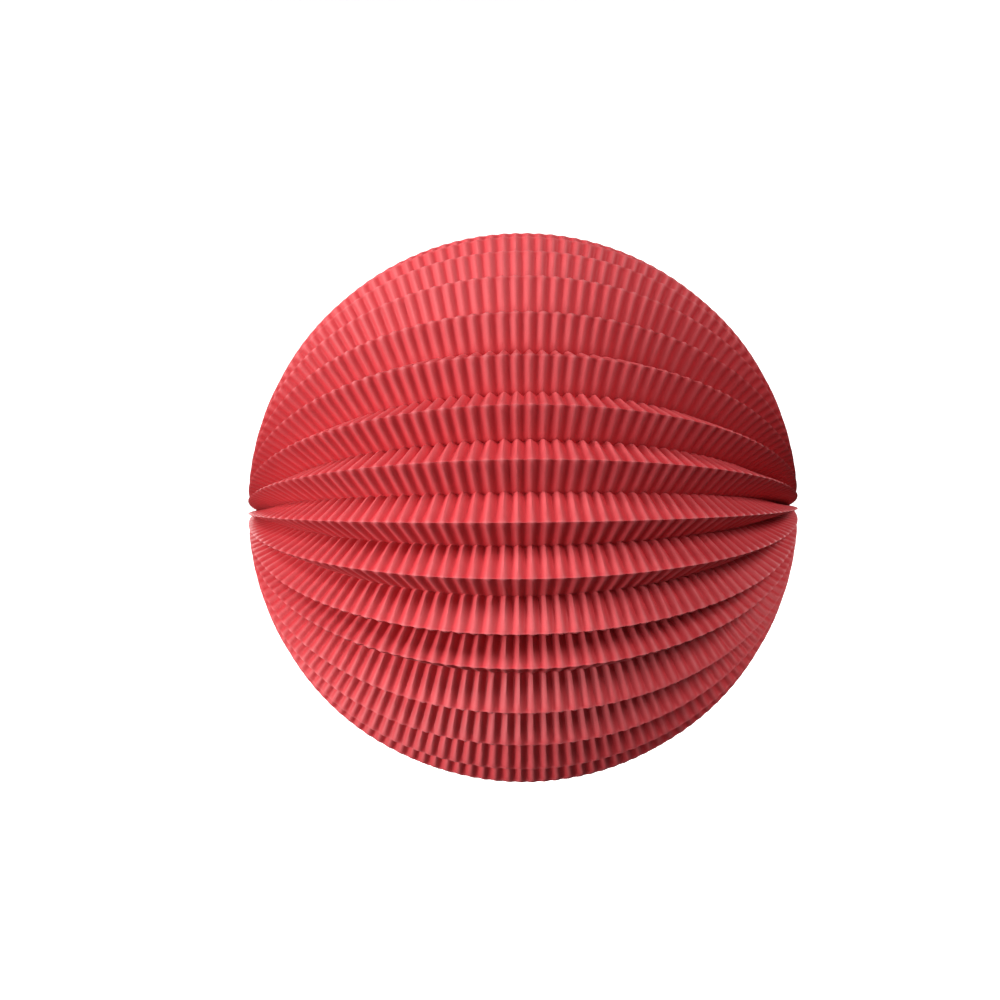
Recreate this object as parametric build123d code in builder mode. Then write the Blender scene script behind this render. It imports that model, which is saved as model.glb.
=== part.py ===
from build123d import *
import os
from math import acos, cos, degrees, radians, sin, sqrt, tan

# Accordion paper lantern: a crimped sheet folded into a fan and opened into a ball.
# The folds turn about the X axis through the ball's centre. +Z is up, -Y is the front,
# and the origin is under the centre, at the lowest point of the bottom fold.

os.makedirs("parts", exist_ok=True)

# Driving dimensions, in millimetres and degrees
ball_radius = 110.0      # ball centre to the outer edge of a fold
panel_width = 13.7       # one side of a fold, outer edge to inner edge
slot_angle = 17.0        # opening at the top, between the two rims
side_folds = 17          # folds on each side of the bottom fold
paper = 0.15
fold_gap = 0.3           # between the inner edges of two neighbouring folds
pole_clear = 5.6         # where the folds stop short of the pole line
sections = 17            # profiles along one fold

core_radius = 5.0        # glued fold ends at each pole
core_length = 14.0
core_bevel = 1.0

card = 1.0               # stiff card of the two rims
card_depth = 14.0
card_inset = 1.0         # rim's outer edge below the folds' outer edges

eyelet_margin = 1.84     # eyelet's flange to the folds' inner edges
eyelet_bore_radius = 1.5
eyelet_wall = 0.4
eyelet_flange_radius = 3.4
eyelet_flange = 0.4
eyelet_fit = 0.05

wire_radius = 0.8        # wire hanger
hanger_length = 56.0     # pivot line to the point where the straight legs would meet
crown_radius = 5.0       # middle of the wire, at the hanging point
wire_bend = 1.7
hook_length = 3.4        # bent end that keeps the hanger in the back rim
end_reach = 1.5          # plain end beyond the front eyelet
hanger_stow = 8.0        # stowed hanger dips this far below level
running_gap = 0.5        # hanger leg to eyelet flange

strip_span = 50.0        # angle of the base strip along the bottom fold
strip_width = 17.0
strip = 1.0
seat_gap = 0.3

candle_radius = 6.5      # bore of the candle cup
cup_wall = 0.5
cup_height = 12.0
cup_flange_radius = 12.0
rivet_radius = 0.9
rivet_head_radius = 1.7
rivet_head = 0.6
rivet_fit = 0.1
rivet_margin = 0.3       # rivet head to the cup's wall
cup_seat = 0.05          # between the cup's flange and the strip's edge

# Derived sizes
fold_pitch = (360 - slot_angle) / (2 * side_folds + 1)
half_pitch = fold_pitch / 2
slot_half_angle = slot_angle / 2
rim_turn = 180 - slot_half_angle
centre = Vector(0, 0, ball_radius)


def outward(turn):
    """Unit vector from the ball's centre, square to the pole line; 0 is straight down, + goes to the front."""
    return Vector(0, -sin(radians(turn)), -cos(radians(turn)))


def across(turn):
    """Unit vector in which the folds turn, square to outward(turn)."""
    return Vector(0, -cos(radians(turn)), sin(radians(turn)))


def valley_radius(theta):
    """Ball centre to a fold's inner edge, at the angle theta from the middle towards a pole."""
    spread = cos(radians(theta)) * tan(radians(half_pitch))
    root = sqrt(panel_width**2 * (1 + spread**2) - (ball_radius * spread) ** 2)
    return (ball_radius - root) / (1 + spread**2)


def section_plane(turn, theta):
    """Plane across a fold: x runs outward from the ball's centre, y in the turning direction."""
    along = Vector(1, 0, 0) * sin(radians(theta)) + outward(turn) * cos(radians(theta))
    normal = Vector(1, 0, 0) * cos(radians(theta)) - outward(turn) * sin(radians(theta))
    return Plane(origin=centre, x_dir=along, z_dir=normal)


def rim_plane(turn, offset):
    """Plane of a rim, moved sideways by offset: y runs outward from the pole line."""
    return Plane(origin=centre + across(turn) * offset, x_dir=(-1, 0, 0), z_dir=across(turn))


def write(piece, name):
    piece.label = name
    export_step(piece, f"parts/{name}.step")


# Paper folds: a thin V whose legs close up towards the two poles
end_theta = degrees(acos(pole_clear / valley_radius(90)))


def fold_profile(theta):
    """The six corners of the V, from its outer edge round one leg and back along the other."""
    inner = valley_radius(theta)
    half_width = inner * cos(radians(theta)) * tan(radians(half_pitch)) - fold_gap / 2
    depth = ball_radius - inner
    slant = sqrt(depth**2 + half_width**2)
    leg = paper * slant / depth
    nose = paper * slant / half_width
    return [
        (ball_radius, 0),
        (inner, half_width),
        (inner, half_width - leg),
        (ball_radius - nose, 0),
        (inner, leg - half_width),
        (inner, -half_width),
    ]


for number in range(-side_folds, side_folds + 1):
    with BuildPart() as fold:
        for step in range(sections):
            theta = end_theta * (2 * step / (sections - 1) - 1)
            with BuildSketch(section_plane(number * fold_pitch, theta)):
                with BuildLine():
                    Polyline(fold_profile(theta), close=True)
                make_face()
        loft()
    if number == 0:
        write(fold.part, "fold_bottom")
    else:
        side = "front" if number > 0 else "back"
        write(fold.part, f"fold_{side}_{abs(number):02d}")

# Glued fold ends, where every fold meets the pole line
for side, direction in (("left", -1), ("right", 1)):
    start = direction * (ball_radius - core_length)
    with BuildPart() as core:
        with BuildSketch(Plane(origin=centre + Vector(start, 0, 0), z_dir=(direction, 0, 0))):
            Circle(core_radius)
        extrude(amount=core_length)
        chamfer(core.faces().sort_by(Axis.X)[0 if direction < 0 else -1].edges(), core_bevel)
    write(core.part, f"fold_ends_{side}")

# Card rims with their eyelets, one on each side of the slot at the top
card_outer = ball_radius - card_inset
card_inner = card_outer - card_depth
card_face = fold_gap / 2
card_clear = max((card + 2 * card_face) / tan(radians(slot_half_angle)), core_radius + seat_gap)
pivot_radius = valley_radius(0) + eyelet_margin + eyelet_flange_radius
for side, direction in (("front", 1), ("back", -1)):
    turn = direction * rim_turn
    near = card_face if direction > 0 else -card_face - card
    with BuildPart() as rim:
        with BuildSketch(rim_plane(turn, near)):
            Circle(card_outer)
            Circle(card_inner, mode=Mode.SUBTRACT)
            with Locations((0, card_clear - ball_radius)):
                Rectangle(2 * ball_radius, 2 * ball_radius, mode=Mode.SUBTRACT)
            with Locations((0, pivot_radius)):
                Circle(eyelet_bore_radius + eyelet_wall + eyelet_fit, mode=Mode.SUBTRACT)
        extrude(amount=card)
    write(rim.part, f"rim_card_{side}")

    with BuildPart() as eyelet:
        for level, radius, length in (
            (near - eyelet_flange, eyelet_flange_radius, eyelet_flange),
            (near, eyelet_bore_radius + eyelet_wall, card),
            (near + card, eyelet_flange_radius, eyelet_flange),
        ):
            with BuildSketch(rim_plane(turn, level)):
                with Locations((0, pivot_radius)):
                    Circle(radius)
            extrude(amount=length)
        with BuildSketch(rim_plane(turn, near - eyelet_flange)):
            with Locations((0, pivot_radius)):
                Circle(eyelet_bore_radius)
        extrude(amount=card + 2 * eyelet_flange, mode=Mode.SUBTRACT)
    write(eyelet.part, f"eyelet_{side}")

# Wire hanger, stowed in the slot: x of its plane runs from the pivot line to the crown
card_middle = card_face + card / 2
pivot_height = pivot_radius * cos(radians(slot_half_angle)) + card_middle * sin(radians(slot_half_angle))
pivot_side = pivot_radius * sin(radians(slot_half_angle)) - card_middle * cos(radians(slot_half_angle))
eyelet_half = card / 2 + eyelet_flange
leg_side = pivot_side - eyelet_half - running_gap - wire_radius
hook_side = pivot_side + eyelet_half + running_gap + wire_radius
end_side = pivot_side + eyelet_half + end_reach
hanger_plane = Plane(
    origin=centre + Vector(0, 0, pivot_height),
    x_dir=(cos(radians(hanger_stow)), 0, -sin(radians(hanger_stow))),
    z_dir=(sin(radians(hanger_stow)), 0, cos(radians(hanger_stow))),
)
with BuildPart() as hanger:
    with BuildLine(hanger_plane) as wire_path:
        FilletPolyline(
            (hook_length, hook_side),
            (0, hook_side),
            (0, leg_side),
            (hanger_length, 0),
            (0, -leg_side),
            (0, -end_side),
            radius=[wire_bend, wire_bend, crown_radius, wire_bend],
        )
    with BuildSketch(Plane(origin=wire_path.line @ 0, z_dir=wire_path.line % 0)):
        Circle(wire_radius)
    sweep()
write(hanger.part, "wire_hanger")

# Base strip: stiff card bent along the inside of the bottom fold and glued to its inner edges
seat_theta = strip_span / 2
seat_radius = valley_radius(seat_theta) * sqrt(
    sin(radians(seat_theta)) ** 2 + (cos(radians(seat_theta)) * cos(radians(half_pitch))) ** 2
)
strip_outer = seat_radius - seat_gap
strip_inner = strip_outer - strip
strip_start = 270 - strip_span / 2
rivet_reach = candle_radius + cup_wall + rivet_margin + rivet_head_radius
rivet_places = ((-rivet_reach, 0), (rivet_reach, 0))
with BuildPart() as base_strip:
    with BuildSketch(Plane.XZ.offset(-strip_width / 2)):
        with BuildLine():
            lower = CenterArc((0, ball_radius), strip_outer, strip_start, strip_span)
            upper = CenterArc((0, ball_radius), strip_inner, strip_start, strip_span)
            Line(lower @ 0, upper @ 0)
            Line(lower @ 1, upper @ 1)
        make_face()
    extrude(amount=strip_width)
    with BuildSketch(Plane.XY):
        with Locations(*rivet_places):
            Circle(rivet_radius + rivet_fit)
    extrude(amount=ball_radius, mode=Mode.SUBTRACT)
write(base_strip.part, "base_strip")

# Candle cup, whose flange rests on the bent strip at two points of its edge
cup_base = ball_radius - sqrt(strip_inner**2 - cup_flange_radius**2) + cup_seat
cup_floor = cup_base + cup_wall
cup_top = cup_base + cup_height
with BuildPart() as candle_cup:
    with BuildSketch(Plane.XZ):
        with BuildLine():
            Polyline(
                (0, cup_base),
                (cup_flange_radius, cup_base),
                (cup_flange_radius, cup_floor),
                (candle_radius + cup_wall, cup_floor),
                (candle_radius + cup_wall, cup_top),
                (candle_radius, cup_top),
                (candle_radius, cup_floor),
                (0, cup_floor),
                close=True,
            )
        make_face()
    revolve(axis=Axis.Z)
    with BuildSketch(Plane.XY):
        with Locations(*rivet_places):
            Circle(rivet_radius + rivet_fit)
    extrude(amount=cup_top, mode=Mode.SUBTRACT)
write(candle_cup.part, "candle_cup")

# Two rivets through the flange and the strip; each lower head meets the strip's bend at its inner edge
lower_seat = ball_radius - sqrt(strip_outer**2 - (rivet_reach - rivet_head_radius) ** 2)
with BuildPart() as cup_rivets:
    with BuildSketch(Plane.XY.offset(lower_seat - rivet_head)):
        with Locations(*rivet_places):
            Circle(rivet_head_radius)
    extrude(amount=rivet_head)
    with BuildSketch(Plane.XY.offset(lower_seat)):
        with Locations(*rivet_places):
            Circle(rivet_radius)
    extrude(amount=cup_floor - lower_seat)
    with BuildSketch(Plane.XY.offset(cup_floor)):
        with Locations(*rivet_places):
            Circle(rivet_head_radius)
    extrude(amount=rivet_head)
write(cup_rivets.part, "cup_rivets")
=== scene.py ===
import bpy
import math
import numpy as np
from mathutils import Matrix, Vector


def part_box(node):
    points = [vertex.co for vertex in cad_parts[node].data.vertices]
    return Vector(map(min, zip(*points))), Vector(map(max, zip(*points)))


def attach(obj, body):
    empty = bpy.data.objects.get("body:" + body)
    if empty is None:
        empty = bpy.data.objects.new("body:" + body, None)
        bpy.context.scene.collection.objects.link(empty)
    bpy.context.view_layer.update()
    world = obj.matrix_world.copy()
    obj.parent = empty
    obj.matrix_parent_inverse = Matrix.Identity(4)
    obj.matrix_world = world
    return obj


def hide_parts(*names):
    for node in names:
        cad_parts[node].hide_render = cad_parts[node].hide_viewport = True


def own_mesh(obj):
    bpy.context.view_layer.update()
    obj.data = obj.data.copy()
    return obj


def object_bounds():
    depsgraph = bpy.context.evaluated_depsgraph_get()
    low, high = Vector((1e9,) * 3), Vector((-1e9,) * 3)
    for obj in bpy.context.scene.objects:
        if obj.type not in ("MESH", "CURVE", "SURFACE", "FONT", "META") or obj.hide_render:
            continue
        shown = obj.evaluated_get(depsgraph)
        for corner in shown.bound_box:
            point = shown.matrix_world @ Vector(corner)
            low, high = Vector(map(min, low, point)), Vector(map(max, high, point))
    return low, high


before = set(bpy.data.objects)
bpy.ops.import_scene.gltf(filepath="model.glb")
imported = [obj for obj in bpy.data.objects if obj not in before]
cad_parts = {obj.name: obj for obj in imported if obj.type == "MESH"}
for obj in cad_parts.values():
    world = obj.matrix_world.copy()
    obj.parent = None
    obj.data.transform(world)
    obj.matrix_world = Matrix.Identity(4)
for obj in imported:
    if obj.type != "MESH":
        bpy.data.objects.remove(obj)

cadLow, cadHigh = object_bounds()

# sizes that every piece shares, in metres and radians, read from the frame
ballRadius = (cadHigh.x - cadLow.x) / 2
centre = Vector(((cadLow.x + cadHigh.x) / 2, (cadLow.y + cadHigh.y) / 2, cadLow.z + ballRadius))
sideFolds = sum(1 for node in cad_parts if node.startswith("fold_front_"))
foldPitch = math.acos(1 - (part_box("fold_front_01")[0][2] - cadLow.z) / ballRadius)
rimTurn = (sideFolds + 0.5) * foldPitch    # from straight down up to each rim
foldCount = 2 * sideFolds + 1
print(f"frame: radius {ballRadius * 1000:.1f} mm, {foldCount} folds, "
      f"{math.degrees(foldPitch):.2f} degrees apart")


def newCollection(name):
    collection = bpy.data.collections.new(name)
    bpy.context.scene.collection.children.link(collection)
    return collection


lanternCollection = newCollection("lantern")
studioCollection = newCollection("studio")


def outward(turn):
    # away from the pole line: 0 is straight down, + turns to the front
    return np.array([0.0, -math.sin(turn), -math.cos(turn)])


def across(turn):
    # the way the folds move, square to outward
    return np.array([0.0, -math.cos(turn), math.sin(turn)])


def newGroup(name, inputs, outputs):
    group = bpy.data.node_groups.new(name, "ShaderNodeTree")
    for label, kind, value in inputs:
        socket = group.interface.new_socket(name=label, in_out="INPUT", socket_type=kind)
        if value is not None:
            socket.default_value = value
    for label, kind in outputs:
        group.interface.new_socket(name=label, in_out="OUTPUT", socket_type=kind)
    return group, group.nodes.new("NodeGroupInput"), group.nodes.new("NodeGroupOutput")


def addNode(tree, kind, settings=None, links=None, values=None):
    node = tree.nodes.new(kind)
    for key, value in (settings or {}).items():
        setattr(node, key, value)
    for key, value in (values or {}).items():
        node.inputs[key].default_value = value
    for key, source in (links or {}).items():
        tree.links.new(source, node.inputs[key])
    return node


def fillInputs(tree, node, sources):
    # each source is a socket to link or a plain value
    for index, source in sources:
        if isinstance(source, bpy.types.NodeSocket):
            tree.links.new(source, node.inputs[index])
        else:
            node.inputs[index].default_value = source


def mixColour(tree, factor, first, second):
    node = addNode(tree, "ShaderNodeMix", {"data_type": "RGBA"})
    fillInputs(tree, node, ((0, factor), (6, first), (7, second)))
    return node.outputs[2]


def mathNode(tree, operation, first, second=0.0, clamp=False):
    node = addNode(tree, "ShaderNodeMath", {"operation": operation, "use_clamp": clamp})
    fillInputs(tree, node, ((0, first), (1, second)))
    return node.outputs[0]


def mapRange(tree, value, fromMin, fromMax, toMin, toMax):
    node = addNode(tree, "ShaderNodeMapRange", None, {"Value": value},
                   {"From Min": fromMin, "From Max": fromMax, "To Min": toMin, "To Max": toMax})
    return node.outputs[0]


def noise(tree, vector, scale, detail=3.0, roughness=0.6, distortion=0.0):
    node = addNode(tree, "ShaderNodeTexNoise", None, {"Vector": vector},
                   {"Scale": scale, "Detail": detail, "Roughness": roughness, "Distortion": distortion})
    return node.outputs["Fac"]


def scaledPlace(group, start):
    # the piece's own coordinates times the group's Scale
    place = addNode(group, "ShaderNodeTexCoord")
    return addNode(group, "ShaderNodeVectorMath", {"operation": "SCALE"},
                   {0: place.outputs["Object"], "Scale": start.outputs["Scale"]}).outputs[0]


fibrePattern = {               # noise scales are per metre
    "cloud": 90.0,
    "fibre": 1500.0,
    "fibreBend": 1.4,
    "fibreShare": 0.5,
    "cells": 900.0,
    "cellEdge": 3.0,
    "speck": 620.0,
    "speckBend": 0.8,
    "speckRange": (0.68, 0.78),
}


def buildPaperFibre():
    # short fibres, soft clouding and a few specks, as in uncoated paper and card
    group, start, end = newGroup(
        "paperFibre",
        [("Scale", "NodeSocketFloat", 1.0), ("Clouding", "NodeSocketFloat", 0.5)],
        [("Tone", "NodeSocketFloat"), ("Height", "NodeSocketFloat"), ("Specks", "NodeSocketFloat")],
    )
    scaled = scaledPlace(group, start)
    cloud = noise(group, scaled, fibrePattern["cloud"], 5.0)
    fibre = noise(group, scaled, fibrePattern["fibre"], 4.0, 0.7, fibrePattern["fibreBend"])
    cells = addNode(group, "ShaderNodeTexVoronoi", {"feature": "DISTANCE_TO_EDGE"}, {"Vector": scaled},
                    {"Scale": fibrePattern["cells"]})
    edge = mathNode(group, "MULTIPLY", cells.outputs["Distance"], fibrePattern["cellEdge"], clamp=True)
    tone = mathNode(group, "ADD", mathNode(group, "MULTIPLY", cloud, start.outputs["Clouding"]),
                    mathNode(group, "MULTIPLY", fibre, fibrePattern["fibreShare"]))
    height = mathNode(group, "MULTIPLY", mathNode(group, "ADD", fibre, edge), 0.5)
    speck = noise(group, scaled, fibrePattern["speck"], 2.0, 0.5, fibrePattern["speckBend"])
    specks = mapRange(group, speck, *fibrePattern["speckRange"], 0.0, 1.0)
    group.links.new(tone, end.inputs["Tone"])
    group.links.new(height, end.inputs["Height"])
    group.links.new(specks, end.inputs["Specks"])
    return group


scuffPattern = {
    "patch": 260.0,
    "mark": 1800.0,
    "markBend": 2.5,
    "range": (0.22, 0.42),     # where the two noises multiplied turn into wear
}


def buildSoftScuffs():
    # soft random wear for metal and card
    group, start, end = newGroup(
        "softScuffs",
        [("Scale", "NodeSocketFloat", 1.0), ("Amount", "NodeSocketFloat", 0.5)],
        [("Mask", "NodeSocketFloat"), ("Height", "NodeSocketFloat")],
    )
    scaled = scaledPlace(group, start)
    product = mathNode(group, "MULTIPLY", noise(group, scaled, scuffPattern["patch"], 6.0, 0.65),
                       noise(group, scaled, scuffPattern["mark"], 2.0, 0.5, scuffPattern["markBend"]))
    mask = mathNode(group, "MULTIPLY", mapRange(group, product, *scuffPattern["range"], 0.0, 1.0),
                    start.outputs["Amount"], clamp=True)
    group.links.new(mask, end.inputs["Mask"])
    group.links.new(product, end.inputs["Height"])
    return group


thinLines = 5.0                # thin lines to one wide line


def buildFineLines():
    # drawn or turned lines; the vector is short along the lines and long across them
    group, start, end = newGroup(
        "fineLines",
        [("Vector", "NodeSocketVector", None), ("Scale", "NodeSocketFloat", 1.0)],
        [("Tone", "NodeSocketFloat"), ("Height", "NodeSocketFloat")],
    )
    scaled = addNode(group, "ShaderNodeVectorMath", {"operation": "SCALE"},
                     {0: start.outputs["Vector"], "Scale": start.outputs["Scale"]}).outputs[0]
    wide = noise(group, scaled, 1.0, 2.0, 0.5)
    thin = noise(group, scaled, thinLines, 3.0, 0.7)
    group.links.new(wide, end.inputs["Tone"])
    group.links.new(mathNode(group, "ADD", wide, thin), end.inputs["Height"])
    return group


paperFibre = buildPaperFibre()
softScuffs = buildSoftScuffs()
fineLines = buildFineLines()
print("shared effects ready")


def newMaterial(name):
    material = bpy.data.materials.new(name)
    material.use_nodes = True
    tree = material.node_tree
    tree.nodes.clear()
    output = tree.nodes.new("ShaderNodeOutputMaterial")
    shader = tree.nodes.new("ShaderNodeBsdfPrincipled")
    tree.links.new(shader.outputs[0], output.inputs[0])
    return material, tree, shader


def placeGroup(tree, group, values):
    node = tree.nodes.new("ShaderNodeGroup")
    node.node_tree = group
    for key, value in values.items():
        node.inputs[key].default_value = value
    return node


def placeFineLines(tree, stretch):
    # fine lines over the piece's own coordinates, with so many to the metre along X, Y and Z
    place = addNode(tree, "ShaderNodeTexCoord")
    stretched = addNode(tree, "ShaderNodeVectorMath", {"operation": "MULTIPLY"},
                        {0: place.outputs["Object"]}, {1: stretch}).outputs[0]
    lines = placeGroup(tree, fineLines, {"Scale": 1.0})
    tree.links.new(stretched, lines.inputs["Vector"])
    return lines


def addBump(tree, shader, height, strength, distance):
    bump = addNode(tree, "ShaderNodeBump", None, {"Height": height},
                   {"Strength": strength, "Distance": distance})
    tree.links.new(bump.outputs[0], shader.inputs["Normal"])


def varyRoughness(tree, shader, tone, finish):
    # roughness is the finish's own, a little lower in dark tones and higher in pale ones
    below, above = finish["roughnessSpread"]
    low, high = finish["roughness"] - below, finish["roughness"] + above
    tree.links.new(mapRange(tree, tone, 0.0, 1.0, low, high), shader.inputs["Roughness"])


crimpedPaper = {
    "dye": (0.56, 0.035, 0.043, 1),
    "dyeDeep": (0.47, 0.018, 0.025, 1),
    "rubbedAndHighlight": (0.66, 0.200, 0.210, 1),     # painted highlight on the tops of the crimps, and real wear along the outer edges
    # share of that pale colour painted on the crimps' tops as a painted highlight
    "crestHighlightShare": 0.4,
    "edgeRub": 0.25,
    "roughness": 0.55,
    "roughnessSpread": (0.08, 0.1),
    "specular": 0.3,
    "sheen": 0.03,
    "sheenRoughness": 0.6,
    "sheenTint": (1.0, 0.55, 0.55, 1),
    "grain": 0.00008,
    "grainStrength": 0.5,
    "streakPitch": 0.0006,
    "streakTone": (0.75, 1.25),
    "streakRelief": 0.5,
    "streakWidth": 0.06,       # a streak changes this much more slowly along a side than across it
}


def makeCrimpedPaper():
    material, tree, shader = newMaterial("crimpedPaper")
    fibre = placeGroup(tree, paperFibre, {"Scale": 1.0, "Clouding": 0.5})
    sheet = addNode(tree, "ShaderNodeAttribute", {"attribute_name": "sheetPlace"})
    streak = placeGroup(tree, fineLines, {"Scale": 1 / crimpedPaper["streakPitch"]})
    tree.links.new(sheet.outputs["Vector"], streak.inputs["Vector"])
    wearAndHighlight = addNode(tree, "ShaderNodeAttribute", {"attribute_name": "wearAndHighlight"})
    streakTone = mapRange(tree, streak.outputs["Tone"], 0.3, 0.7, *crimpedPaper["streakTone"])
    tone = mathNode(tree, "MULTIPLY", fibre.outputs["Tone"], streakTone, clamp=True)
    base = mixColour(tree, tone, crimpedPaper["dyeDeep"], crimpedPaper["dye"])
    patchy = mapRange(tree, tone, 0.2, 0.7, 0.5, 1.0)
    # paler where the outer edges are worn, and on the crimps' tops as a painted highlight
    paleShare = mathNode(tree, "MULTIPLY", wearAndHighlight.outputs["Fac"], patchy, clamp=True)
    tree.links.new(mixColour(tree, paleShare, base, crimpedPaper["rubbedAndHighlight"]), shader.inputs["Base Color"])
    varyRoughness(tree, shader, tone, crimpedPaper)
    streakRelief = mathNode(tree, "MULTIPLY", streak.outputs["Height"], crimpedPaper["streakRelief"])
    relief = mathNode(tree, "ADD", fibre.outputs["Height"], streakRelief)
    addBump(tree, shader, relief, crimpedPaper["grainStrength"], crimpedPaper["grain"])
    shader.inputs["Sheen Weight"].default_value = crimpedPaper["sheen"]
    shader.inputs["Sheen Roughness"].default_value = crimpedPaper["sheenRoughness"]
    shader.inputs["Sheen Tint"].default_value = crimpedPaper["sheenTint"]
    shader.inputs["Specular IOR Level"].default_value = crimpedPaper["specular"]
    return material


crimpedPaperMaterial = makeCrimpedPaper()
print("crimped paper ready")


def closedGrid(rows, columns):
    # faces of a grid's front and back surfaces and of its border;
    # the back surface's points follow the front's
    index = np.arange(rows * columns).reshape(rows, columns)
    corners = [index[:-1, :-1], index[:-1, 1:], index[1:, 1:], index[1:, :-1]]
    quads = np.stack(corners, axis=-1).reshape(-1, 4)
    border = np.concatenate([index[0, :], index[1:, -1], index[-1, -2::-1], index[-2:0:-1, 0]])
    count = rows * columns
    after = np.roll(border, -1)
    edge = np.stack([border, border + count, after + count, after], axis=-1)
    return np.concatenate([quads, quads[:, ::-1] + count, edge])


def addPiece(name, points, faces, material, sharpAngle=38.0):
    mesh = bpy.data.meshes.new(name)
    mesh.vertices.add(len(points))
    mesh.vertices.foreach_set("co", np.asarray(points, dtype=np.float32).ravel())
    sizes = np.array([len(face) for face in faces])
    corners = np.concatenate([np.asarray(face) for face in faces])
    mesh.loops.add(len(corners))
    mesh.loops.foreach_set("vertex_index", corners.astype(np.int32))
    mesh.polygons.add(len(faces))
    mesh.polygons.foreach_set("loop_start", np.concatenate([[0], np.cumsum(sizes)[:-1]]).astype(np.int32))
    mesh.update(calc_edges=True)
    mesh.shade_smooth()
    mesh.set_sharp_from_angle(angle=math.radians(sharpAngle))
    mesh.materials.append(material)
    piece = bpy.data.objects.new(name, mesh)
    lanternCollection.objects.link(piece)
    return piece


foldSheet = {
    "panelWidth": 0.0137,      # outer edge to inner edge along one side
    "crimps": 72,              # from pole to pole
    "samplesPerCrimp": 8,
    "rowsPerSide": 8,
    "crimpSharpness": 0.8,     # 1 would be a plain zigzag
    "valleyDepth": 0.00066,    # half height of a crimp at the inner edge
    "ridgeDepth": 0.00014,     # and at the outer edge
    "rowCurve": 1.5,           # above 1 sets the rows closer at the outer edge
    "depthCurve": 0.12,        # how soon a crimp reaches its depth, below 1 is sooner
    "crestCurve": 2,           # above 1 narrows the painted highlight on the crimps' tops
    "valleyZigzag": 0.00045,   # sideways, at the inner edge
    "zigzagCurve": 1.5,
    "fadeFrom": 28.0,          # degrees from the middle, where the crimps start to flatten
    "fadeOver": 50.0,
    "fadeCurve": 1.2,
    "poleFade": 0.85,
    "thickness": 0.00015,
    "poleRadius": 0.0034,      # where the folds end beside the pole line
    "pressedFolds": 6,         # the lower front folds are pressed up against the next one
    "pressedOver": 3.5,        # folds, until the full angle is reached
    "pressedBy": 3.0,          # degrees
    "settledFolds": (10, 16),  # the upper front folds between these sag a little
    "settledBy": 1.1,          # degrees
    "unevenTurn": 0.22,        # degrees, random
    "unevenCrimps": 0.05,      # random, in crimps
    "unevenEdge": 0.00025,     # metres, slow random wander of the outer edge
    "edgeWaves": (3, 7, 13),   # and how fast its three waves run
    "seed": 7,
}
rng = np.random.default_rng(foldSheet["seed"])


def foldTurn(number):
    # a fold's angle from straight down, + to the front, with the small settling of real paper
    extra = 0.0
    first, last = foldSheet["settledFolds"]
    if 0 < number <= foldSheet["pressedFolds"]:
        extra += foldSheet["pressedBy"] * min(1, number / foldSheet["pressedOver"])
    if first < number < last:
        extra -= foldSheet["settledBy"] * math.sin(math.pi * (number - first) / (last - first))
    return number * foldPitch + math.radians(extra)


foldNumbers = list(range(-sideFolds, sideFolds + 1))
turnNoise = rng.normal(0, math.radians(foldSheet["unevenTurn"]), foldCount)
turnNoise[[0, sideFolds, -1]] = 0
ridgeTurn = {number: foldTurn(number) + turnNoise[i] for i, number in enumerate(foldNumbers)}
valleyTurn = {number: (ridgeTurn[number - 1] + ridgeTurn[number]) / 2 for number in foldNumbers[1:]}
valleyTurn[-sideFolds] = -rimTurn
valleyTurn[sideFolds + 1] = rimTurn
wanderPhase = rng.uniform(0, 2 * math.pi, (foldCount, 3))
crimpJitter = np.cumsum(rng.normal(0, foldSheet["unevenCrimps"], foldSheet["crimps"] + 3))
crimpJitter -= np.linspace(crimpJitter[0], crimpJitter[-1], len(crimpJitter))

endTheta = math.acos(foldSheet["poleRadius"] / (ballRadius - foldSheet["panelWidth"]))
theta = np.linspace(-endTheta, endTheta, foldSheet["crimps"] * foldSheet["samplesPerCrimp"] + 1)


def valleyRadius(half):
    # ball's centre to the inner edge, for a fold that is half wide in angle on this side
    spread = np.cos(theta) * math.tan(half)
    inside = foldSheet["panelWidth"]**2 * (1 + spread**2) - (ballRadius * spread)**2
    inside = np.maximum(inside, 1e-9)    # where a side can't reach that far, it ends at the nearest point
    return (ballRadius - np.sqrt(inside)) / (1 + spread**2)


def crimpWave():
    # how far each point is a crimp's top, and the crimps' rounded zigzag, both fading towards the poles
    place = (theta / (2 * endTheta) + 0.5) * foldSheet["crimps"]
    shift = np.interp(place, np.arange(len(crimpJitter)), crimpJitter)
    sharp = foldSheet["crimpSharpness"]
    zigzag = np.arcsin(sharp * np.sin(2 * np.pi * (place + shift))) / math.asin(sharp)
    towardsPole = np.clip((np.degrees(np.abs(theta)) - foldSheet["fadeFrom"]) / foldSheet["fadeOver"], 0, 1)
    height = 1 - foldSheet["poleFade"] * towardsPole**foldSheet["fadeCurve"]
    return (zigzag * 0.5 + 0.5)**foldSheet["crestCurve"] * height, zigzag * height


crimpTop, wave = crimpWave()


def edgeLine(turn, radius):
    # points on a meridian of the given radius at the given turn about the pole line
    return np.outer(radius * np.sin(theta), (1, 0, 0)) + np.outer(radius * np.cos(theta), outward(turn))


def unitRows(rows):
    return rows / np.maximum(np.linalg.norm(rows, axis=-1), 1e-12)[..., None]


def wander(number):
    # slow unevenness of one outer edge along its length
    phases = wanderPhase[number + sideFolds]
    counts = foldSheet["edgeWaves"]
    waves = sum(np.sin(theta * count + phase) / count for count, phase in zip(counts, phases))
    return foldSheet["unevenEdge"] * waves * np.cos(theta)


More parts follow.
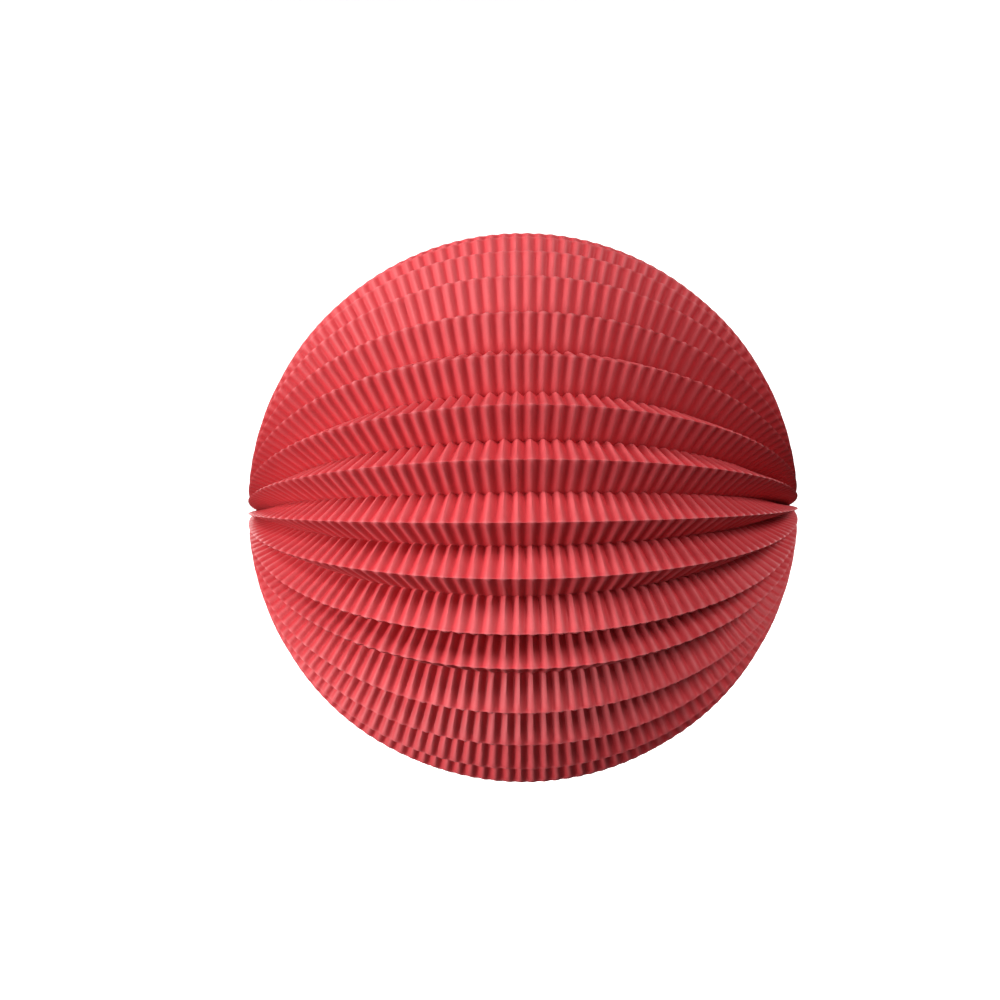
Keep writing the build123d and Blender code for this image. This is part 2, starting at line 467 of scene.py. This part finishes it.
def foldSide(ridge, valley, ridgeLine):
    # rows of points from the outer edge to one inner edge, with their shares of the way
    inner = edgeLine(valley, valleyRadius(abs(valley - ridge)))
    along = inner - ridgeLine
    normal = unitRows(np.cross(along, np.gradient(ridgeLine, axis=0)))
    if np.dot(normal[len(theta) // 2], outward(ridge)) < 0:
        normal = -normal
    zigzag = np.outer(wave * foldSheet["valleyZigzag"], across(valley))
    shares = np.linspace(0, 1, foldSheet["rowsPerSide"] + 1)**foldSheet["rowCurve"]
    rows = []
    for share in shares:
        growth = share**foldSheet["depthCurve"]
        depth = foldSheet["ridgeDepth"] + (foldSheet["valleyDepth"] - foldSheet["ridgeDepth"]) * growth
        # a crimp lifts straight out at the two edges and square to the side between them
        lift = unitRows(normal * growth + outward(ridge) * (1 - growth))
        if share == 1:
            lift = np.tile(outward(valley), (len(theta), 1))
        # towards the inner edge the crimps stand only outward of the fold's own line
        crimp = lift * ((wave + share) * depth)[:, None]
        rows.append(ridgeLine + along * share + crimp + zigzag * share**foldSheet["zigzagCurve"])
    return rows, list(shares)


def foldSurface(number):
    # rows from one inner edge over the outer edge to the other
    ridge = ridgeTurn[number]
    ridgeLine = edgeLine(ridge, ballRadius - foldSheet["ridgeDepth"] + 0 * theta)
    lowRows, lowShares = foldSide(ridge, valleyTurn[number], ridgeLine)
    highRows, highShares = foldSide(ridge, valleyTurn[number + 1], ridgeLine)
    points = np.array(lowRows[::-1] + highRows[1:])
    shares = np.array(lowShares[::-1] + highShares[1:])
    slow = np.outer(wander(number), outward(ridge))
    return points + slow[None] * (1 - shares)[:, None, None], shares


def paperPiece(name, outer, shares):
    # closes a surface into a sheet of paper and notes its worn outer edge, the painted highlight on its
    # crimps' tops and how its crimps run
    normal = unitRows(np.cross(np.gradient(outer, axis=1), np.gradient(outer, axis=0)))
    inner = outer + normal * foldSheet["thickness"]
    points = np.concatenate([outer.reshape(-1, 3), inner.reshape(-1, 3)]) + np.array(centre)
    piece = addPiece(name, points, closedGrid(*outer.shape[:2]), crimpedPaperMaterial)
    edgeRub = (np.abs(shares) < 0.01)[:, None] * crimpedPaper["edgeRub"]
    first = (len(theta) - outer.shape[1]) // 2
    # the crimps' tops get a painted highlight, the outer edge real wear
    crestHighlight = crimpTop[None, first:first + outer.shape[1]] * crimpedPaper["crestHighlightShare"]
    wearAndHighlight = np.clip(edgeRub + crestHighlight, 0, 1)
    piece.data.attributes.new("wearAndHighlight", "FLOAT", "POINT").data.foreach_set(
        "value", np.tile(wearAndHighlight.ravel(), 2).astype(np.float32))
    place = np.zeros(outer.shape)
    place[..., 0] = np.linspace(-endTheta, endTheta, outer.shape[1]) * ballRadius
    place[..., 1] = shares[:, None] * foldSheet["panelWidth"] * crimpedPaper["streakWidth"]
    place[..., 2] = outer[len(outer) // 2, outer.shape[1] // 2, 1]
    piece.data.attributes.new("sheetPlace", "FLOAT_VECTOR", "POINT").data.foreach_set(
        "vector", np.tile(place.reshape(-1, 3), (2, 1)).astype(np.float32).ravel())
    return piece


for number in foldNumbers:
    body = "bottom" if number == 0 else f"{'front' if number > 0 else 'back'}_{abs(number):02d}"
    fold = paperPiece(f"crimpedFold_{body}", *foldSurface(number))
    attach(fold, body)
    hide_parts(f"fold_{body}")
    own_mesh(fold)


gluedEdge = {
    "cardFace": 0.00015,       # rim's plane to the card's face on the fold side
    "flattened": 0.198,        # share of the crimps' depth left under the glue
    "under": 1.2,              # sheet thicknesses from the card's face to the crimps' tops
    "reach": 0.0088,           # how far the sheet is glued up the card
    "lastShare": 0.05,         # of the reach, left bare at the top
    "poleClear": math.radians(5.5),
    "rows": 6,
}


def buildGluedEdge(direction):
    # the sheet's last strip, turned up and glued flat on the card rim
    turn = direction * rimTurn
    keep = np.abs(theta) < math.pi / 2 - gluedEdge["poleClear"]
    start = valleyRadius(foldPitch / 2)
    rows = []
    shares = np.linspace(1, gluedEdge["lastShare"], gluedEdge["rows"])
    depth = foldSheet["valleyDepth"] * gluedEdge["flattened"]
    offset = gluedEdge["cardFace"] - foldSheet["thickness"] * gluedEdge["under"] - depth * (1 - wave)
    for share in shares:
        line = edgeLine(turn, start + gluedEdge["reach"] * (1 - share))
        rows.append((line + np.outer(offset * direction, across(turn)))[keep])
    surface = np.array(rows if direction > 0 else rows[::-1])
    return paperPiece(f"gluedEdge_{'front' if direction > 0 else 'back'}", surface,
                      shares if direction > 0 else shares[::-1])


for direction, side in ((1, "front"), (-1, "back")):
    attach(buildGluedEdge(direction), f"rim_{side}")
print("glued sheet ends ready")


foldEnds = {
    "radius": 0.0031,
    "flute": 0.00045,
    "recess": 0.0009,          # the bundle's face below the ends of the outer edges
    "lip": 0.0004,             # glue raised round the edge of the face
    "dimple": 0.0016,          # and sunk in its middle
    "rows": 9,
    "samplesPerFlute": 8,
    "paper": (0.42, 0.016, 0.026, 1),
    "glue": (0.30, 0.012, 0.016, 1),
    "paperRoughness": 0.62,
    "glueRoughness": 0.22,
    "relief": 0.0001,
}


def makeGluedPaper():
    material, tree, shader = newMaterial("gluedPaper")
    fibre = placeGroup(tree, paperFibre, {"Scale": 1.3, "Clouding": 0.6})
    glue = placeGroup(tree, softScuffs, {"Scale": 0.8, "Amount": 0.9})
    mask = glue.outputs["Mask"]
    tree.links.new(mixColour(tree, mask, foldEnds["paper"], foldEnds["glue"]), shader.inputs["Base Color"])
    rough = mapRange(tree, mask, 0.0, 1.0, foldEnds["paperRoughness"], foldEnds["glueRoughness"])
    tree.links.new(rough, shader.inputs["Roughness"])
    relief = mathNode(tree, "ADD", fibre.outputs["Height"], glue.outputs["Height"])
    addBump(tree, shader, relief, 0.6, foldEnds["relief"])
    return material


def buildFoldEnds(direction):
    # a fluted bundle: every fold's end pressed and glued round the pole line
    side = "left" if direction < 0 else "right"
    low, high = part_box(f"fold_ends_{side}")
    length = high[0] - low[0]
    columns = foldCount * foldEnds["samplesPerFlute"]
    turns = np.linspace(-rimTurn, rimTurn, columns, endpoint=False)
    flute = np.cos(turns / foldPitch * 2 * math.pi)
    face, lip, dimple = length - foldEnds["recess"], foldEnds["lip"], foldEnds["dimple"]
    profile = [(1.0, along) for along in np.linspace(0, face, foldEnds["rows"])]
    profile += [(0.93, face + lip), (0.82, face + lip), (0.6, face - dimple * 0.5),
                (0.3, face - dimple * 0.9), (0.05, face - dimple)]
    points = []
    for share, along in profile:
        radius = (foldEnds["radius"] + foldEnds["flute"] * flute) * share
        start = centre + Vector((direction * (ballRadius - length + along), 0, 0))
        points.append([start + Vector(outward(turn) * reach) for turn, reach in zip(turns, radius)])
    rows = len(profile)
    index = np.arange(rows * columns).reshape(rows, columns)
    after = np.roll(index, -1, axis=1)
    faces = np.stack([index[:-1], after[:-1], after[1:], index[1:]], axis=-1).reshape(-1, 4)
    caps = [index[0][::-1], index[-1]]
    if direction < 0:
        faces, caps = faces[:, ::-1], [cap[::-1] for cap in caps]
    piece = addPiece(f"gluedFoldEnds_{side}", np.array(points).reshape(-1, 3), list(faces) + caps,
                     gluedPaperMaterial, sharpAngle=50.0)
    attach(piece, "bottom")
    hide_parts(f"fold_ends_{side}")


gluedPaperMaterial = makeGluedPaper()
for direction in (-1, 1):
    buildFoldEnds(direction)
print("glued fold ends ready")


def finishNode(name, material):
    # a CAD piece whose shape is right keeps it and takes a finish
    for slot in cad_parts[name].material_slots:
        slot.material = material


rimCard = {
    "face": (0.47, 0.022, 0.032, 1),
    "faceLight": (0.58, 0.045, 0.055, 1),
    "core": (0.55, 0.36, 0.27, 1),     # bare board, where an edge is rubbed
    "outer": 0.001,                    # outer edge below the folds' outer edges
    "depth": 0.014,
    "rubWidth": 0.0005,
    "marks": 0.25,                     # how strong the scuffs on the faces are
    "roughness": 0.62,
    "roughnessSpread": (0.1, 0.12),
    "relief": 0.00009,
}


def makeRimCard():
    material, tree, shader = newMaterial("rimCard")
    fibre = placeGroup(tree, paperFibre, {"Scale": 0.8, "Clouding": 0.6})
    rub = placeGroup(tree, softScuffs, {"Scale": 1.0, "Amount": 1.0})
    place = addNode(tree, "ShaderNodeTexCoord")
    reach = addNode(tree, "ShaderNodeVectorMath", {"operation": "DISTANCE"}, {0: place.outputs["Object"]},
                    {1: centre}).outputs["Value"]
    half = rimCard["depth"] / 2
    middle = ballRadius - rimCard["outer"] - half
    fromMiddle = mathNode(tree, "ABSOLUTE", mathNode(tree, "SUBTRACT", reach, middle))
    edge = mapRange(tree, fromMiddle, half - rimCard["rubWidth"], half, 0.0, 1.0)
    board = mixColour(tree, fibre.outputs["Tone"], rimCard["face"], rimCard["faceLight"])
    patchy = mapRange(tree, rub.outputs["Height"], 0.18, 0.3, 0.25, 1.0)
    paleShare = mathNode(tree, "MULTIPLY", edge, patchy, clamp=True)
    marks = mathNode(tree, "MULTIPLY", rub.outputs["Mask"], rimCard["marks"])
    marked = mixColour(tree, marks, board, rimCard["core"])
    tree.links.new(mixColour(tree, paleShare, marked, rimCard["core"]), shader.inputs["Base Color"])
    varyRoughness(tree, shader, fibre.outputs["Tone"], rimCard)
    addBump(tree, shader, fibre.outputs["Height"], 0.5, rimCard["relief"])
    return material


rimCardMaterial = makeRimCard()
finishNode("rim_card_front", rimCardMaterial)
finishNode("rim_card_back", rimCardMaterial)
print("rims ready")


kraftCard = {
    "pulp": (0.47, 0.33, 0.20, 1),
    "pulpLight": (0.60, 0.45, 0.29, 1),
    "fleck": (0.20, 0.12, 0.07, 1),
    "grain": (150.0, 1900.0, 1900.0),  # lines along the strip, per metre
    "grainTone": (0.7, 1.3),
    "roughness": 0.75,
    "roughnessSpread": (0.08, 0.1),
    "relief": 0.0001,
}


def makeKraftCard():
    material, tree, shader = newMaterial("kraftCard")
    fibre = placeGroup(tree, paperFibre, {"Scale": 0.7, "Clouding": 0.7})
    grain = placeFineLines(tree, kraftCard["grain"])
    grainTone = mapRange(tree, grain.outputs["Tone"], 0.3, 0.7, *kraftCard["grainTone"])
    tone = mathNode(tree, "MULTIPLY", fibre.outputs["Tone"], grainTone, clamp=True)
    pulp = mixColour(tree, tone, kraftCard["pulp"], kraftCard["pulpLight"])
    flecked = mixColour(tree, fibre.outputs["Specks"], pulp, kraftCard["fleck"])
    tree.links.new(flecked, shader.inputs["Base Color"])
    varyRoughness(tree, shader, tone, kraftCard)
    relief = mathNode(tree, "ADD", fibre.outputs["Height"], grain.outputs["Height"])
    addBump(tree, shader, relief, 0.5, kraftCard["relief"])
    return material


finishNode("base_strip", makeKraftCard())
print("base strip ready")


def makeMetal(name, finish):
    # bright metal with drawn or turned lines, a dull film in patches and small scuffs
    material, tree, shader = newMaterial(name)
    place = addNode(tree, "ShaderNodeTexCoord")
    scuff = placeGroup(tree, softScuffs, {"Scale": finish["scuffScale"], "Amount": 0.8})
    lines = placeFineLines(tree, finish["lines"])
    cloud = noise(tree, place.outputs["Object"], finish["filmScale"], 5.0)
    film = mapRange(tree, cloud, 0.42, 0.66, 0.0, 1.0)
    colour = mixColour(tree, film, finish["bright"], finish["dull"])
    scratched = mixColour(tree, scuff.outputs["Mask"], colour, finish["scratch"])
    tree.links.new(scratched, shader.inputs["Base Color"])
    dullness = mathNode(tree, "ADD", film, lines.outputs["Tone"])
    tree.links.new(mapRange(tree, dullness, 0.3, 1.5, *finish["roughness"]), shader.inputs["Roughness"])
    shader.inputs["Metallic"].default_value = 1.0
    relief = mathNode(tree, "ADD", lines.outputs["Height"], scuff.outputs["Height"])
    addBump(tree, shader, relief, 0.35, finish["relief"])
    return material


axisGap = 0.00002    # a turned outline starts and ends this far from its axis


def softCorners(points, radius, steps=5, room=0.48):
    # rounds every inner corner of an open outline, within its share of room on the two runs
    points = [Vector(point) for point in points]
    soft = [points[0]]
    for before, corner, after in zip(points, points[1:], points[2:]):
        back, ahead = before - corner, after - corner
        reach = min(radius, room * back.length, room * ahead.length)
        first, last = corner + back.normalized() * reach, corner + ahead.normalized() * reach
        for share in np.linspace(0, 1, steps):
            soft.append(first * (1 - share)**2 + corner * 2 * share * (1 - share) + last * share**2)
    return soft + [points[-1]]


def turnedForm(outlines, place, axis, segments, edgeShape=None):
    # turns (radius, height) outlines about an axis; a closed outline makes a ring, an open one a solid
    axis = Vector(axis).normalized()
    side = axis.orthogonal().normalized()
    other = axis.cross(side)
    points, faces = [], []
    for outline, isRing in outlines:
        first = len(points)
        for radius, height in outline:
            for step in range(segments):
                angle = 2 * math.pi * step / segments
                reach = edgeShape(radius, height, angle) if edgeShape else radius
                points.append(Vector(place) + axis * height
                              + (side * math.cos(angle) + other * math.sin(angle)) * reach)
        rows = len(outline)
        for row in range(rows if isRing else rows - 1):
            low, high = first + row * segments, first + (row + 1) % rows * segments
            for step in range(segments):
                after = (step + 1) % segments
                faces.append((low + step, low + after, high + after, high + step))
        if not isRing:
            faces.append(tuple(range(first + segments - 1, first - 1, -1)))
            faces.append(tuple(range(first + (rows - 1) * segments, first + rows * segments)))
    return points, faces


tinPlate = {
    "bright": (0.74, 0.74, 0.72, 1),
    "dull": (0.56, 0.56, 0.53, 1),
    "scratch": (0.86, 0.86, 0.84, 1),
    "roughness": (0.24, 0.46),
    "lines": (260.0, 260.0, 5200.0),   # drawn rings round the wall
    "filmScale": 160.0,
    "scuffScale": 0.9,
    "relief": 0.00003,
}
candleCup = {
    "wall": 0.0005,
    "bore": 0.0065,
    "rimBead": 0.00045,        # rolled rim
    "hem": 0.0004,             # turned edge of the flange
    "floorBend": 0.0009,
    "ring": (0.0032, 0.0042, 0.00025),   # stamped in the floor: inner and outer radius, height
    "softness": 0.0005,
    "segments": 96,
}


def buildCandleCup():
    # pressed cup with a rolled rim, a drawn bend at its foot and a hemmed flange
    low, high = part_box("candle_cup")
    base, top, flange = low[2], high[2], (high[0] - low[0]) / 2
    wall, bore, bead, hem = candleCup["wall"], candleCup["bore"], candleCup["rimBead"], candleCup["hem"]
    bend, floor = candleCup["floorBend"], base + wall
    ringIn, ringOut, ringHigh = candleCup["ring"]
    outside = bore + wall
    outline = softCorners([
        (axisGap, base), (flange - hem, base), (flange, base + hem * 0.2), (flange, base + hem * 1.9),
        (flange - hem, base + hem * 2.1), (flange - 2.6 * hem, floor), (outside + bend, floor),
        (outside, floor + bend), (outside, top - 2.4 * bead), (outside + bead, top - 2.0 * bead),
        (outside + bead, top - 0.4 * bead), (outside, top), (bore, top - 0.5 * bead),
        (bore, floor + bend), (bore - bend, floor),
        (ringOut + ringHigh, floor), (ringOut, floor + ringHigh),
        (ringIn, floor + ringHigh), (ringIn - ringHigh, floor), (axisGap, floor),
    ], candleCup["softness"])
    points, faces = turnedForm([(outline, False)], (centre.x, centre.y, 0), (0, 0, 1),
                               candleCup["segments"])
    piece = addPiece("tinCandleCup", points, faces, makeMetal("tinPlate", tinPlate), sharpAngle=45.0)
    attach(piece, "bottom")
    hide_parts("candle_cup")


buildCandleCup()
print("candle cup ready")


brass = {
    "bright": (0.80, 0.58, 0.28, 1),
    "dull": (0.52, 0.36, 0.17, 1),
    "scratch": (0.90, 0.72, 0.42, 1),
    "roughness": (0.20, 0.48),
    "lines": (900.0, 900.0, 900.0),
    "filmScale": 420.0,
    "scuffScale": 1.6,
    "relief": 0.00002,
}
brassMaterial = makeMetal("brass", brass)

cupRivets = {
    "shank": 0.0009,
    "head": 0.0006,            # height of a head
    "softness": 0.0007,
    "segments": 40,
}


def buildCupRivets():
    # two round-headed rivets, clinched under the strip
    low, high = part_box("cup_rivets")
    headRadius = (high[1] - low[1]) / 2
    shank, head = cupRivets["shank"], cupRivets["head"]
    bottom, top = low[2], high[2]
    outline = softCorners([
        (axisGap, bottom), (headRadius * 0.6, bottom + head * 0.05), (headRadius, bottom + head * 0.6),
        (headRadius, bottom + head), (shank, bottom + head), (shank, top - head), (headRadius, top - head),
        (headRadius, top - head * 0.65), (headRadius * 0.6, top - head * 0.08), (axisGap, top),
    ], cupRivets["softness"])
    points, faces = [], []
    for x in (low[0] + headRadius, high[0] - headRadius):
        more, moreFaces = turnedForm([(outline, False)], (x, centre.y, 0), (0, 0, 1), cupRivets["segments"])
        faces += [tuple(index + len(points) for index in face) for face in moreFaces]
        points += more
    piece = addPiece("cupRivets", points, faces, brassMaterial, sharpAngle=45.0)
    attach(piece, "bottom")
    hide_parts("cup_rivets")


buildCupRivets()
print("cup rivets ready")


eyelet = {
    "bore": 0.0015,
    "barrel": 0.0019,
    "flange": 0.0034,
    "lip": 0.0004,
    "card": 0.001,
    "petals": 8,               # clinched side
    "petalShort": 0.16,        # share of the flange that the petals leave free
    "splitDepth": 0.5,         # and that the splits between them cut away
    "splitSharpness": 8,
    "softness": 0.0003,
    "segments": 96,
}


def buildEyelet(direction):
    # rolled flange on the slot side, clinched petals on the fold side
    side = "front" if direction > 0 else "back"
    low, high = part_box(f"eyelet_{side}")
    place = [(a + b) / 2 for a, b in zip(low, high)]
    half, lip = eyelet["card"] / 2, eyelet["lip"]
    bore, barrel, flange = eyelet["bore"], eyelet["barrel"], eyelet["flange"]
    upper = [(barrel, 0), (barrel, half), (flange, half), (flange, half + lip * 0.8),
             (flange - lip, half + lip), (bore + lip * 0.7, half + lip), (bore, half + lip * 0.2), (bore, 0)]
    lower = [(radius, -height) for radius, height in upper[-2:0:-1]] + [(barrel, -1e-6)]
    outline = softCorners(upper + lower, eyelet["softness"])

    def petalShape(radius, height, angle):
        if height > -half - lip * 0.1 or radius <= barrel:
            return radius
        split = (0.5 + 0.5 * math.cos(eyelet["petals"] * angle))**eyelet["splitSharpness"]
        return barrel + (radius - barrel) * (1 - eyelet["petalShort"] - split * eyelet["splitDepth"])

    points, faces = turnedForm([(outline, True)], place, direction * across(direction * rimTurn),
                               eyelet["segments"], petalShape)
    piece = addPiece(f"brassEyelet_{side}", points, faces, brassMaterial, sharpAngle=45.0)
    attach(piece, f"rim_{side}")
    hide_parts(f"eyelet_{side}")


for direction in (1, -1):
    buildEyelet(direction)
print("eyelets ready")


galvanisedWire = {
    "bright": (0.66, 0.67, 0.68, 1),
    "dull": (0.42, 0.43, 0.45, 1),
    "scratch": (0.80, 0.81, 0.82, 1),
    "roughness": (0.28, 0.55),
    "lines": (180.0, 180.0, 2600.0),
    "filmScale": 300.0,
    "scuffScale": 1.2,
    "relief": 0.00003,
}
finishNode("wire_hanger", makeMetal("galvanisedWire", galvanisedWire))
print("wire hanger ready")


studio = {
    "floorDrop": 0.45,         # the lantern hangs, so the floor is well below it
    "bowlRadius": 3.0,         # the floor turns up into a wall all round
    "bowlHeight": 5.0,
    "bowlBend": 0.3,           # share of the radius
    "bowlMiddle": 0.01,
    "floorTone": (0.93, 0.93, 0.93, 1),
    "floorRoughness": 0.9,
    "floorGlow": 0.6,          # seen by the camera only, keeps the far wall as pale as the floor
    "floorBounce": (0.03, 0.03, 0.03, 1),
    "skyTone": (1, 1, 1, 1),
    "skyStrength": 0.07,
    "cameraDistance": 4.0,     # in ball radii
    "silhouette": 0.275,       # ball radius over the picture's width
    "sensor": 36.0,
    "shiftX": -0.023,
    "shiftY": 0.008,
    "roll": 0.55,              # degrees
}


def makeFloor():
    # pale to the eye, but it throws little light back up, like a floor far below
    material, tree, shader = newMaterial("paleFloor")
    shader.inputs["Base Color"].default_value = studio["floorTone"]
    shader.inputs["Roughness"].default_value = studio["floorRoughness"]
    shader.inputs["Emission Color"].default_value = studio["floorTone"]
    shader.inputs["Emission Strength"].default_value = studio["floorGlow"]
    dull = addNode(tree, "ShaderNodeBsdfDiffuse", None, None, {"Color": studio["floorBounce"]})
    path = tree.nodes.new("ShaderNodeLightPath")
    mix = tree.nodes.new("ShaderNodeMixShader")
    tree.links.new(path.outputs["Is Camera Ray"], mix.inputs[0])
    tree.links.new(dull.outputs[0], mix.inputs[1])
    tree.links.new(shader.outputs[0], mix.inputs[2])
    tree.links.new(mix.outputs[0], tree.nodes["Material Output"].inputs[0])
    bend = studio["bowlRadius"] * studio["bowlBend"]
    flat = studio["bowlRadius"] - bend
    bottom = cadLow.z - studio["floorDrop"]
    outline = [(studio["bowlMiddle"], bottom)]
    for angle in np.linspace(0, math.pi / 2, 13):
        outline.append((flat + bend * math.sin(angle), bottom + bend * (1 - math.cos(angle))))
    outline.append((studio["bowlRadius"], bottom + studio["bowlHeight"]))
    points, faces = turnedForm([(outline, False)], (0, 0, 0), (0, 0, 1), 96)
    floor = addPiece("paleFloor", points, faces[:-1], material, sharpAngle=60.0)    # no lid
    lanternCollection.objects.unlink(floor)
    studioCollection.objects.link(floor)


def addLamp(name, place, size, power, target=centre, only=None):
    lamp = bpy.data.lights.new(name, "AREA")
    lamp.shape = "DISK"
    lamp.size = size
    lamp.energy = power
    thing = bpy.data.objects.new(name, lamp)
    studioCollection.objects.link(thing)
    thing.location = place
    thing.rotation_euler = (Vector(target) - Vector(place)).to_track_quat("-Z", "Y").to_euler()
    if only:
        thing.light_linking.receiver_collection = only


def makeSky():
    world = bpy.data.worlds.new("softSky")
    world.use_nodes = True
    tree = world.node_tree
    path = tree.nodes.new("ShaderNodeLightPath")
    background = tree.nodes["Background"]
    background.inputs[0].default_value = studio["skyTone"]
    strength = mathNode(tree, "MAXIMUM", path.outputs["Is Camera Ray"], studio["skyStrength"])
    tree.links.new(strength, background.inputs[1])
    bpy.context.scene.world = world


def addCamera():
    data = bpy.data.cameras.new("frontCamera")
    data.sensor_width = studio["sensor"]
    # slope of the line of sight that just passes the ball
    apparent = 1 / math.sqrt(studio["cameraDistance"]**2 - 1)
    data.lens = data.sensor_width * studio["silhouette"] / apparent
    data.shift_x, data.shift_y = studio["shiftX"], studio["shiftY"]
    data.clip_start = 0.01
    camera = bpy.data.objects.new("frontCamera", data)
    studioCollection.objects.link(camera)
    camera.location = centre + Vector((0, -studio["cameraDistance"] * ballRadius, 0))
    camera.rotation_euler = (math.radians(90), math.radians(studio["roll"]), 0)
    bpy.context.scene.camera = camera


makeFloor()
makeSky()
for lampName, place, size, power in (    # metres and watts
    ("leftLamp", (-1.42, -0.56, 0.42), 0.45, 15),
    ("leftLowLamp", (-1.35, -0.65, -0.10), 0.4, 11),
    ("leftFrontLamp", (-1.15, -1.15, 0.02), 0.5, 6),
    ("upperLeftLamp", (-0.95, -0.75, 1.15), 0.5, 11),
    ("upperRightLamp", (0.95, -0.95, 1.05), 0.8, 18),
    ("frontLamp", (0.0, -1.9, 0.0), 1.2, 3),
    ("backLeftLamp", (-1.0, 1.45, 0.9), 0.8, 14),
    ("backRightLamp", (1.3, 1.15, 0.6), 0.8, 13),
):
    addLamp(lampName, place, size, power)
for side in (-1, 1):
    addLamp(f"floorLamp{'Left' if side < 0 else 'Right'}", (side * 1.2, 0, 1.9), 2.6, 95,
            target=(side * 0.6, 0, -0.5), only=studioCollection)
addCamera()
bpy.context.scene.view_settings.view_transform = "Standard"
print("studio ready")
